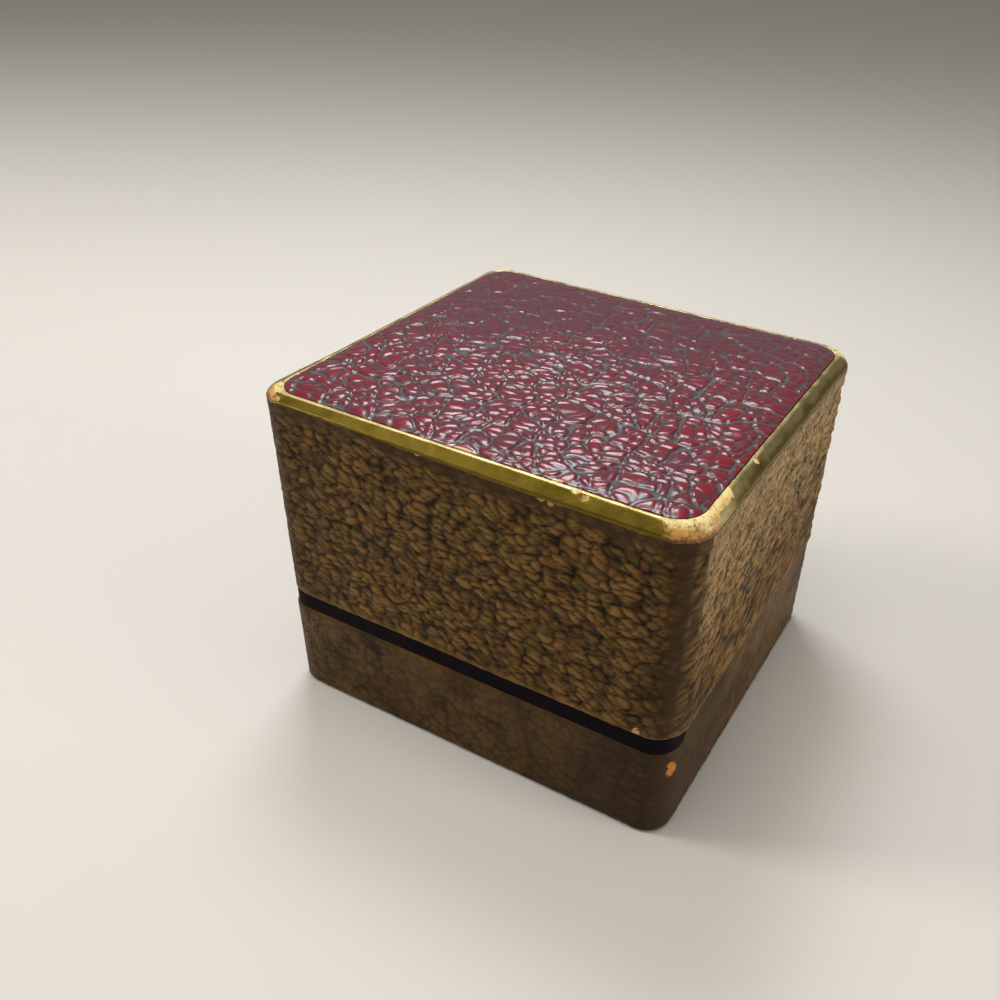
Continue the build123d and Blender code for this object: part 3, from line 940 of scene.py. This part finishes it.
def makeTopPanel():
    look = panelLook
    half = (panelHigh - panelLow)[:2] / 2
    columns, rows = [int(2 * side / look["spacing"]) for side in half]
    deselectAll()
    bpy.ops.mesh.primitive_grid_add(x_subdivisions=columns, y_subdivisions=rows, size=2)
    piece = newPiece("topPanelLeather")
    place = readPoints(piece)[:, :2] * half
    # square corners drawn in to rounds
    corner = box["panelRound"]
    past = np.maximum(np.abs(place) - (half - corner), 0)
    both = (past > 0).all(axis=1)
    scale = np.where(both, past.max(axis=1) / np.maximum(np.hypot(*past.T), 1e-9), 1)
    place = np.sign(place) * (np.minimum(np.abs(place), half - corner) + past * scale[:, None])
    x, y = place.T
    fromEdge = insideRound(x, y, half, corner)[0]
    valley, dome, crease, own = panelHeights(x, y)
    points = np.column_stack([place, np.zeros(len(place))])
    # towards the -y side the grain is flatter and painted shade comes in
    dull = step(*look["dull"], y - 0.25 * x + 4 * mm * softNoise(points, 7, 113))
    quiet = step(-0.3 * mm, 0.2 * mm, fromEdge) * (1 - 0.45 * dull)
    swell = 0.05 * mm * (0.5 + 0.5 * softNoise(points, 8, 111)) * step(0, 1.5 * mm, fromEdge)
    sunk = (crease * look["foldDepth"] + (1 - dome) * look["pebbleDepth"] * (0.8 + 0.4 * own)) * quiet
    fall = look["edgeRound"] * np.clip(1 - fromEdge / look["shoulder"], 0, 1) ** 2
    z = panelHigh[2] - sunk * (1 - 0.4 * step(1.0 * mm, 0.0, fromEdge)) - swell - fall
    chip = np.zeros(len(place))
    for start, end, level, width in look["rubbed"]:
        along = np.abs(x - (start + end) / 2 * mm) / (abs(start - end) / 2 * mm)
        across = np.abs(y - level * mm) / (width * mm)
        chip = np.maximum(chip, (1 - step(0.6, 1.1, along)) * (1 - step(0.4, 1.0, across)))
    chip = chip * (0.75 + 0.3 * softNoise(points, 0.9, 112)) * (1 - 0.6 * valley)
    writePoints(piece, np.column_stack([place, z]))
    grain = np.clip(0.42 + 0.66 * dome, 0, 1) * (1 - 0.9 * valley)
    storeValues(piece, grain=grain, chip=chip, own=own, dull=dull)
    # the edge goes down to the wood, then in and up round the card
    thick = box["leather"]
    editAll(piece)
    bpy.ops.mesh.select_mode(type="EDGE")
    bpy.ops.mesh.select_all(action="DESELECT")
    bpy.ops.mesh.select_non_manifold(extend=False, use_boundary=True)
    drop = panelHigh[2] - look["edgeRound"] - panelLow[2]
    extrudeUp(-drop * 0.5)
    extrudeUp(-drop)
    bpy.ops.transform.resize(value=(1, 1, 0), center_override=(0, 0, panelLow[2]))
    inward = (1 - thick / half[0], 1 - thick / half[1], 1)
    bpy.ops.mesh.extrude_region_move()
    bpy.ops.transform.resize(value=inward, center_override=(0, 0, panelLow[2]))
    extrudeUp(panelHigh[2] - thick - panelLow[2])
    bpy.ops.mesh.edge_face_add()
    smoothAndGive(piece, 50, topLeatherFinish)
    finishPiece(piece, "lid", "top_panel_leather")


makeTopPanel()


# hinge strip: thin dark leather, deepened to near black with painted shade
stripLook = {"thick": 0.15 * mm, "in": 0.2 * mm, "cuts": 9, "foot": 0.22 * mm, "spacing": 0.5 * mm}


def makeHingeStrip():
    look = stripLook
    low, high = stripLow[2] - look["foot"], lidLow[2] + 0.04 * mm
    inner = look["in"] + look["thick"]
    profile = [(look["in"], low), (look["in"], high), (inner, high), (inner, low)]
    piece = carriedRound("hingeStrip", baseSize, profile, look["spacing"], [(low, high, look["cuts"])])
    # only the hinge side and its two corners stay
    editAll(piece)
    bpy.ops.mesh.bisect(plane_co=(0, stripLow[1], 0), plane_no=(0, 1, 0), clear_inner=True, use_fill=True)
    smoothAndGive(piece, 50, stripFinish)
    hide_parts("hinge_strip")
    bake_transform(piece)
    print("made", piece.name)


makeHingeStrip()


# ring pads: two stuffed velvet rolls
padLook = {
    "cuts": 46,
    "crown": 3.4 * mm,
    "flatness": 2.4,  # of the crown's middle
    "endRound": 2.4 * mm,
    "footIn": (0.008, 0.02),  # how much narrower the foot is, each way
    "pinch": 0.35 * mm,
    "wrinkle": 0.10 * mm,
}


def makeRingPad(name, node, slotSide):
    look = padLook
    piece, points, across, low, middle, size = splitBlock(name, node, look["cuts"])
    # crowned from front to back, rounded down at both ends, with an upright foot
    fall = look["crown"] * np.clip(np.abs(across[:, 1]), 0, 1) ** look["flatness"]
    fromEnd = size[0] / 2 - np.abs(points[:, 0] - middle[0])
    over = np.clip(look["endRound"] - fromEnd, 0, look["endRound"])
    fall += look["endRound"] - np.sqrt(np.maximum(look["endRound"] ** 2 - over ** 2, 0))
    rise = (points[:, 2] - low[2]) / size[2]
    roomy = 1 - fall / size[2]
    points[:, 2] = low[2] + rise * size[2] * roomy
    # sides drawn in a little at the foot and along the slot
    foot = step(0.45, 0.0, rise)
    for i in (0, 1):
        points[:, i] = middle[i] + (points[:, i] - middle[i]) * (1 - look["footIn"][i] * foot)
    lift = look["wrinkle"] * softNoise(points, 3.4, 201 + slotSide) * rise
    nearSlot = step(0.55, 1.0, across[:, 1] * slotSide) * rise
    folds = step(0.2, 0.8, softNoise(points * np.array([1, 0.2, 0.2]), 2.2, 203))
    lift -= look["pinch"] * nearSlot * folds
    points[:, 2] += np.minimum(lift, 0) - 0.02 * mm * rise
    writePoints(piece, points)
    editAll(piece)
    smoothAndGive(piece, 60, padVelvet)
    finishPiece(piece, "base", node)


makeRingPad("ringPadFront", "ring_pad_front", 1)
makeRingPad("ringPadRear", "ring_pad_rear", -1)


# satin pad in the lid
satinLook = {"cuts": 60, "edge": 1.5 * mm, "fullness": 0.55, "pucker": 0.5 * mm, "puckers": 40}


def makeSatinPad():
    look = satinLook
    piece, points, across, low, middle, size = splitBlock("lidSatinPad", "lid_satin_pad", look["cuts"])
    top = low[2] + size[2]
    fromWall = (size[:2] / 2 - np.abs(points[:, :2] - middle[:2])).min(axis=1)
    deep = (top - points[:, 2]) / size[2]
    swell = (1 - np.abs(across[:, 0]) ** 3.0) * (1 - np.abs(across[:, 1]) ** 3.0)
    full = look["edge"] / size[2] + (1 - look["edge"] / size[2]) * np.maximum(swell, 0) ** look["fullness"]
    angle = np.arctan2(across[:, 1], across[:, 0])
    gather = np.sin(angle * look["puckers"] + 2.2 * softNoise(points, 5, 221))
    full -= look["pucker"] / size[2] * step(7.0 * mm, 0.0, fromWall) * (0.5 + 0.5 * gather)
    points[:, 2] = top - deep * size[2] * np.clip(full, 0.2, 1) * 0.995
    writePoints(piece, points)
    editAll(piece)
    smoothAndGive(piece, 60, padSatin)
    finishPiece(piece, "lid", "lid_satin_pad")


makeSatinPad()


# CAD nodes that stay, with their finishes
def dressNodes():
    finishes = {
        wood: ["base_shell", "lid_shell"], card: ["pad_board", "top_panel_board", "lid_pad_card"],
        bookCloth: ["base_bottom_cover"], linerVelvet: ["base_liner"], linerSatin: ["lid_liner"],
        brass: ["hinge_base_leaf", "hinge_lid_leaf", "base_leaf_rivets", "lid_leaf_rivets"],
        steel: ["hinge_pin"],
    }
    for material, nodes in finishes.items():
        for node in nodes:
            give(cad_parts[node], material)
    print("CAD nodes are dressed")


dressNodes()


# floor, light and camera
stageLook = {
    "floor": 3.0, "floorColour": (0.66, 0.63, 0.58),
    "world": (1.0, 0.98, 0.94), "worldPower": 0.24,
}
lamps = [
    # name, place, aimed at, size, power, colour
    ("overheadLamp", (0.02, 0.06, 0.44), (0, 0, 0.02), 0.22, 0.65, (1.0, 0.97, 0.93)),
    ("windowLamp", (0.076, -0.094, 0.262), (0, 0.01, 0.04), 0.09, 0.38, (0.95, 0.96, 1.0)),
    ("leftLamp", (0.38, 0.16, 0.26), (0, 0.01, 0.02), 0.12, 0.98, (1.0, 0.97, 0.92)),
    ("sideLamp", (-0.42, -0.04, 0.11), (0, 0, 0.03), 0.14, 0.80, (1.0, 0.96, 0.87)),
]
view = {
    # a camera fitted to the box's straight edges in the photograph
    "place": (-45.88 * mm, 86.23 * mm, 84.42 * mm),
    "azimuth": 27.97, "elevation": 35.66, "roll": 2.50,
    "focal": 973.1, "centre": (566.68, 551.33), "frame": 1000.0, "sensor": 36.0,
}


def makeStage():
    deselectAll()
    bpy.ops.mesh.primitive_plane_add(size=stageLook["floor"], location=(0, 0, 0))
    floor = newPiece("floor")
    material, _, inputs = newMaterial("floorPaint", Roughness=0.6, Specular_IOR_Level=0.2)
    inputs["Base Color"].default_value = (*stageLook["floorColour"], 1)
    give(floor, material)
    world = bpy.data.worlds.new("softWorld")
    bpy.context.scene.world = world
    world.use_nodes = True
    background = world.node_tree.nodes["Background"].inputs
    background["Color"].default_value = (*stageLook["world"], 1)
    background["Strength"].default_value = stageLook["worldPower"]
    for name, place, target, size, power, colour in lamps:
        lamp = bpy.data.lights.new(name, "AREA")
        lamp.color = colour
        lamp.shape = "SQUARE"
        lamp.size = size
        lamp.energy = power
        holder = bpy.data.objects.new(name, lamp)
        bpy.context.scene.collection.objects.link(holder)
        holder.location = place
        holder.rotation_euler = (Vector(target) - Vector(place)).to_track_quat("-Z", "Y").to_euler()


def makeCamera():
    a, e, t = [math.radians(view[key]) for key in ("azimuth", "elevation", "roll")]
    # the fitted view looks at the box from behind, so its frame is turned half round
    back = Vector((-math.sin(a) * math.cos(e), math.cos(a) * math.cos(e), math.sin(e)))
    right = (-back).cross(Vector((0, 0, 1))).normalized()
    up = right.cross(-back)
    across = math.cos(t) * right + math.sin(t) * up
    upright = -math.sin(t) * right + math.cos(t) * up
    camera = bpy.data.objects.new("camera", bpy.data.cameras.new("camera"))
    bpy.context.scene.collection.objects.link(camera)
    turn = Matrix((across, upright, back)).transposed()
    camera.matrix_world = Matrix.Translation(Vector(view["place"])) @ turn.to_4x4()
    camera.data.sensor_width = view["sensor"]
    camera.data.lens = view["sensor"] * view["focal"] / view["frame"]
    camera.data.shift_x = (view["frame"] / 2 - view["centre"][0]) / view["frame"]
    camera.data.shift_y = (view["centre"][1] - view["frame"] / 2) / view["frame"]
    camera.data.clip_start = 0.005
    bpy.context.scene.camera = camera


makeStage()
makeCamera()
bpy.context.scene.view_settings.view_transform = "Standard"
print("stage is ready")
